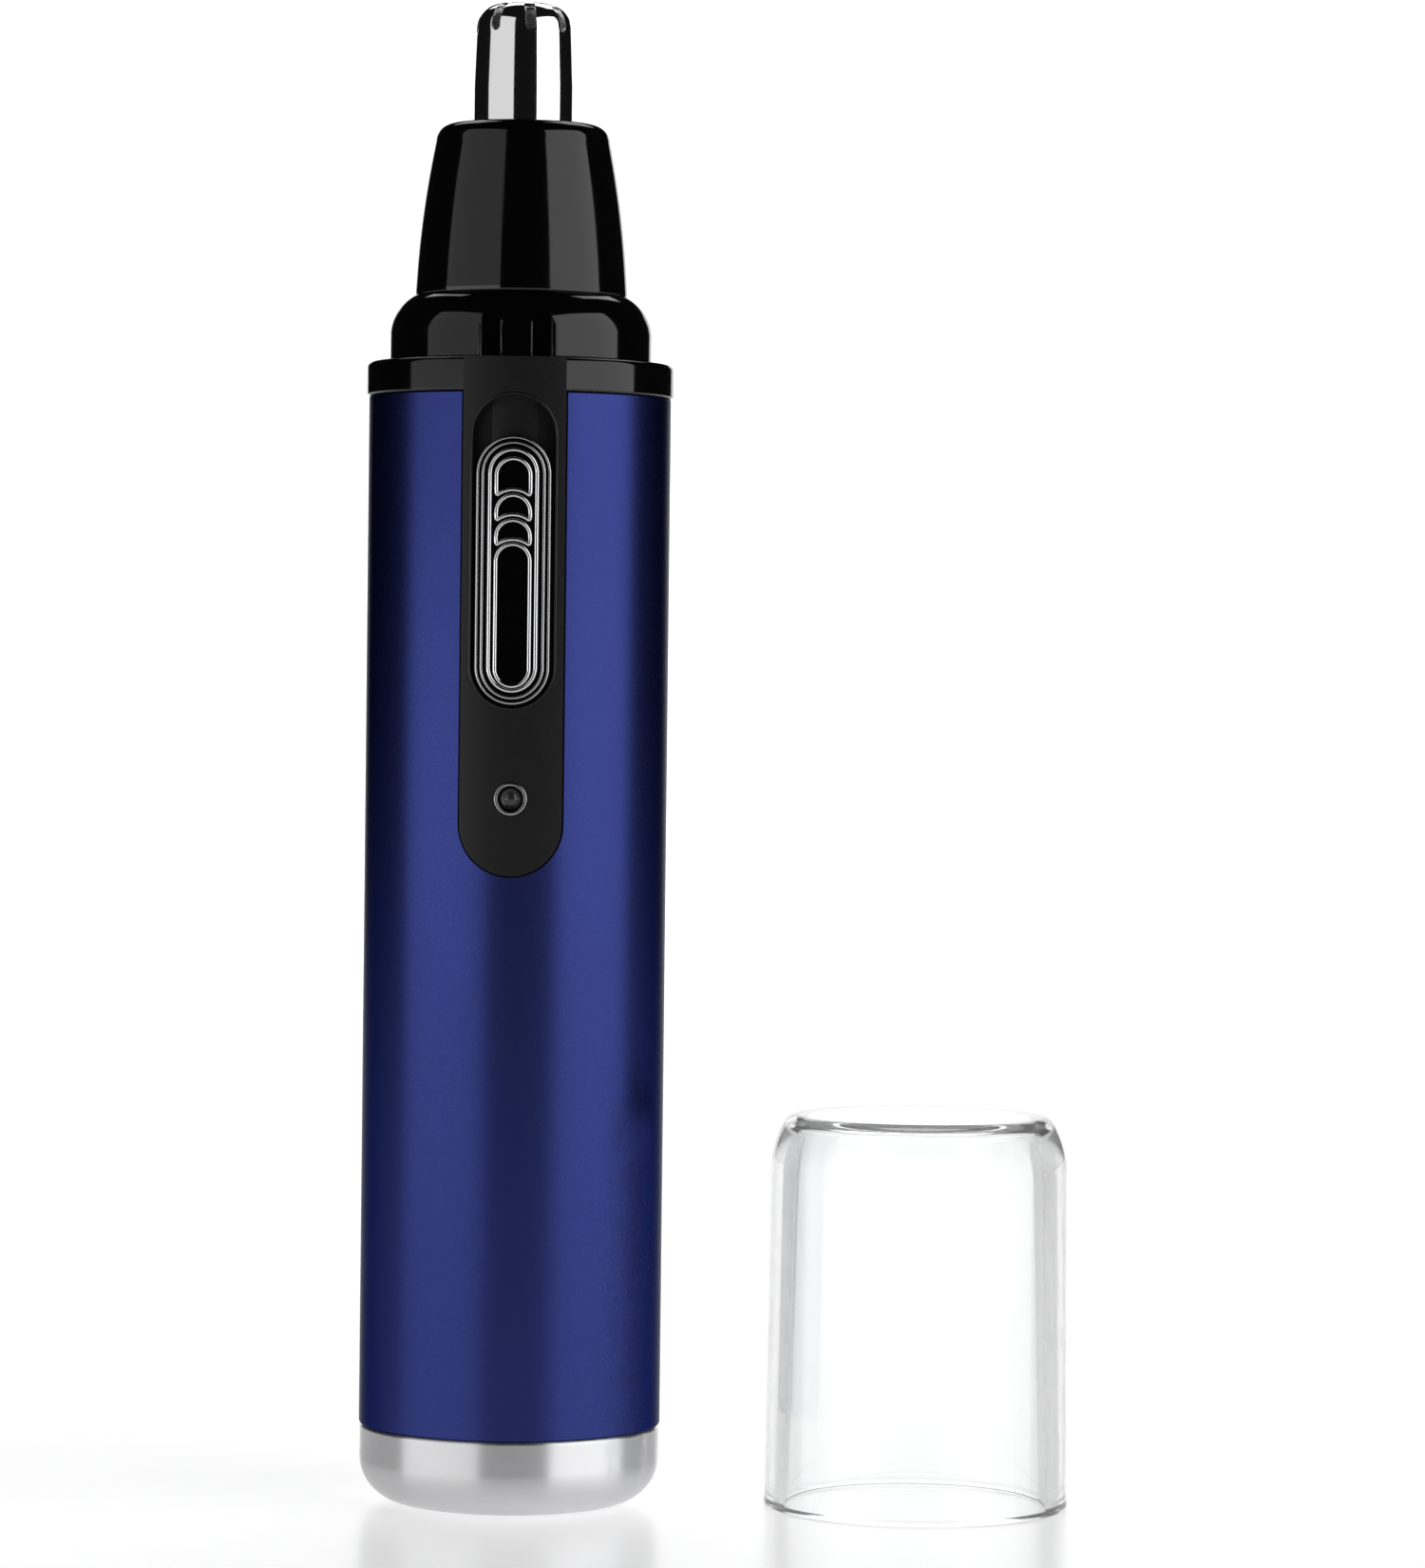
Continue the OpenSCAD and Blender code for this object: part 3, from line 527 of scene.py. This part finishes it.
CONE_Z, CONE_TOP, CONE_ROUND = 111.8, 127.7, 1.6
OGIVE_R, OGIVE_WIDEST, OGIVE_DROP = 92.0, 9.94, 4.0  # the side's arc is widest 4 mm below its foot
SPIGOT_R, SPIGOT_BORE, SPIGOT_LOW = 8.45, 7.3, 110.2
TUBE_HOLE, SEAT_Z = 4.65, 125.9
FOOT_EDGE = [(9.62, CONE_Z), (9.8, CONE_Z + 0.07)]
CAVITY = [(6.6, SEAT_Z), (8.1, CONE_Z + 1.2), (SPIGOT_BORE, CONE_Z + 1.2)]


def ogive(z):
    """The cone's radius at a height."""
    h = z - CONE_Z + OGIVE_DROP
    return OGIVE_WIDEST - OGIVE_R + sqrt(OGIVE_R * OGIVE_R - h * h)


side_low, side_top = CONE_Z + 0.25, CONE_TOP - CONE_ROUND
heights = [side_low + (side_top - side_low) * k / 30 for k in range(31)]
cone = lathe("cone_shell", [(SPIGOT_BORE, SPIGOT_LOW), (SPIGOT_R, SPIGOT_LOW), (SPIGOT_R, CONE_Z)] + FOOT_EDGE
             + [(ogive(z), z) for z in heights]
             + arc(ogive(side_top) - CONE_ROUND, side_top, CONE_ROUND, 10, 90, 10)
             + [(TUBE_HOLE + 0.07, CONE_TOP), (TUBE_HOLE, CONE_TOP - 0.07), (TUBE_HOLE, SEAT_Z)] + CAVITY)
finished(cone, MATS["black_gloss"], "head", ["head_cone"], angle=50)

# ---- slotted cutter tube ----

TUBE, TIP_R, TIP_Z, TIP_ROUND, WALL = 4.6, 4.4, 138.9, 2.3, 0.35
TUBE_LOW, FOOT_R, FOOT_TOP = 125.05, 6.3, 125.85
TAPER_LOW, TIP_BEND = 131.2, (TIP_R - TIP_ROUND, TIP_Z - TIP_ROUND)
SLOTS, SLOT_HALF, SLOT_LOW, SLOT_IN, SLOT_OUT, FIRST_SLOT = 8, 0.5, 136.6, 1.2, 8.0, -80

slope = (TIP_R - TUBE) / (TIP_BEND[1] - TAPER_LOW)  # three more rows keep the faces near the slots small
taper = [(TUBE + slope * (z - TAPER_LOW), z) for z in (TAPER_LOW, 134.8, 135.9, 136.2)]
tube = lathe("tube_shell", [(FOOT_R, TUBE_LOW), (FOOT_R, FOOT_TOP), (TUBE, FOOT_TOP)] + taper
             + arc(*TIP_BEND, TIP_ROUND, 0, 90, 16) + [(0, TIP_Z), (0, TIP_Z - WALL)]
             + arc(*TIP_BEND, TIP_ROUND - WALL, 90, 0, 16) + [(r - WALL, z) for r, z in reversed(taper)]
             + [(TUBE - WALL, TUBE_LOW)], 192)
for i in range(SLOTS):
    a = radians(360 / SLOTS * i + FIRST_SLOT)
    slot = box("slot", (SLOT_IN, -SLOT_HALF, SLOT_LOW), (SLOT_OUT, SLOT_HALF, TIP_Z + 3.1))
    end = rod("slot_end", (SLOT_IN, 0, SLOT_LOW), "X", SLOT_HALF, SLOT_OUT - SLOT_IN, 32)
    for tool in (slot, end):
        for v in tool.data.vertices:
            x, y, z = v.co
            v.co = (x * cos(a) - y * sin(a), x * sin(a) + y * cos(a), z)
        carve(tube, tool)
finished(tube, MATS["chrome"], "head", ["cutter_tube"], edge=0.06, angle=40, segments=2)

# ---- clear cap ----

CAP_X, CAP_R, CAP_H, ROOF = 37.9, 14.05, 36.3, 1.0
BULGE, TURN, SMALL = 9.0, 30.0, 1.3  # the shoulder: a large arc through TURN degrees, then a small one
INNER_TOP_R, INNER_ROUND, DRAFT = CAP_R - 3.9, 1.2, 0.3
RIM = [(-1.75, 0), (0, 0), (0.07, 0.06), (0.08, 0.4), (0.04, 0.54), (0, 0.6)]  # the bead, out from CAP_R
INSIDE = [(-2.5, CAP_H - 6), (-1.85, 0.1)]  # the inner wall, downwards, out from CAP_R

turn_sin, turn_cos = sin(radians(TURN)), cos(radians(TURN))
knee_r, knee_z = CAP_R - DRAFT, CAP_H - BULGE * turn_sin - SMALL * (1 - turn_sin)
small_r, small_z = knee_r - BULGE * (1 - turn_cos) - SMALL * turn_cos, knee_z + (BULGE - SMALL) * turn_sin
roof = CAP_H - ROOF
cap = lathe("cap_shell", [(CAP_R + out, z) for out, z in RIM]
            + arc(knee_r - BULGE, knee_z, BULGE, 0, TURN, 20)
            + arc(small_r, small_z, SMALL, 36, 90, 9) + [(0, CAP_H), (0, roof)]
            + arc(INNER_TOP_R, roof - INNER_ROUND, INNER_ROUND, 90, 0, 15)
            + [(CAP_R + out, z) for out, z in INSIDE], x=CAP_X)
finished(cap, MATS["clear_plastic"], "cap", ["clear_cap"], angle=50)
cap.visible_shadow = cap.visible_diffuse = False

# ---- floor and backdrop ----

FLOOR_HALF, FLOOR_Z = 900, -0.03
WALL_LEFT, WALL_RIGHT, WALL_Y, WALL_H = -330, 370, 900, 340


def glowing(name, grey, glow, rough, specular):
    """A plain grey surface that gives off a little white light."""
    mat = bpy.data.materials.new(name)
    mat.use_nodes = True
    shader = mat.node_tree.nodes["Principled BSDF"]
    shader.inputs["Base Color"].default_value = (grey, grey, grey, 1)
    shader.inputs["Roughness"].default_value = rough
    shader.inputs["Specular IOR Level"].default_value = specular
    shader.inputs["Emission Color"].default_value = (1, 1, 1, 1)
    shader.inputs["Emission Strength"].default_value = glow
    return mat


flat = [(FLOOR_HALF * sx, FLOOR_HALF * sy, FLOOR_Z) for sx, sy in ((-1, -1), (1, -1), (1, 1), (-1, 1))]
floor = mesh("floor", flat, [(0, 1, 2, 3)])
floor.data.materials.append(glowing("floor_white", 0.8, 0.45, rough=0.25, specular=0.16))
upright = [(WALL_LEFT, WALL_Y, 0), (WALL_RIGHT, WALL_Y, 0),
           (WALL_RIGHT, WALL_Y, WALL_H), (WALL_LEFT, WALL_Y, WALL_H)]
wall = mesh("backdrop", upright, [(0, 1, 2, 3)])
wall.data.materials.append(glowing("backdrop_white", 0.5, 1.05, rough=1.0, specular=0.0))

# ---- lights and world, in metres ----


def softbox(name, azimuth, distance, height, width, tall, power, tilt=0):
    """A soft panel that faces the upright line at the origin, azimuth degrees round from the front."""
    light = bpy.data.lights.new(name, "AREA")
    light.shape, light.size, light.size_y, light.energy = "RECTANGLE", width, tall, power
    ob = bpy.data.objects.new(name, light)
    scene.collection.objects.link(ob)
    a = radians(azimuth)
    ob.location = (distance * sin(a), -distance * cos(a), height)
    ob.rotation_euler = (radians(90 - tilt), 0, a)
    ob.visible_camera = False


softbox("softbox_left_low", -54, 0.62, height=0.06, width=0.8, tall=0.12, power=0.56)
softbox("softbox_left_high", -54, 0.62, height=0.395, width=0.8, tall=0.55, power=1.06)
softbox("softbox_right", 64, 0.62, height=0.22, width=0.745, tall=0.9, power=3.95)
softbox("softbox_top", 180, 0.35, height=0.55, width=0.5, tall=0.3, power=0.8, tilt=50)

world = bpy.data.worlds.new("studio")
scene.world = world
world.use_nodes = True
tree = world.node_tree
grey = tree.nodes["Background"]
grey.inputs["Color"].default_value = (1, 1, 1, 1)
grey.inputs["Strength"].default_value = 0.006
white = tree.nodes.new("ShaderNodeBackground")
white.inputs["Color"].default_value = (1, 1, 1, 1)
rays = tree.nodes.new("ShaderNodeLightPath")
pick = tree.nodes.new("ShaderNodeMixShader")
tree.links.new(rays.outputs["Is Camera Ray"], pick.inputs["Fac"])
tree.links.new(grey.outputs["Background"], pick.inputs[1])
tree.links.new(white.outputs["Background"], pick.inputs[2])
tree.links.new(pick.outputs["Shader"], tree.nodes["World Output"].inputs["Surface"])
scene.view_settings.view_transform = "Standard"
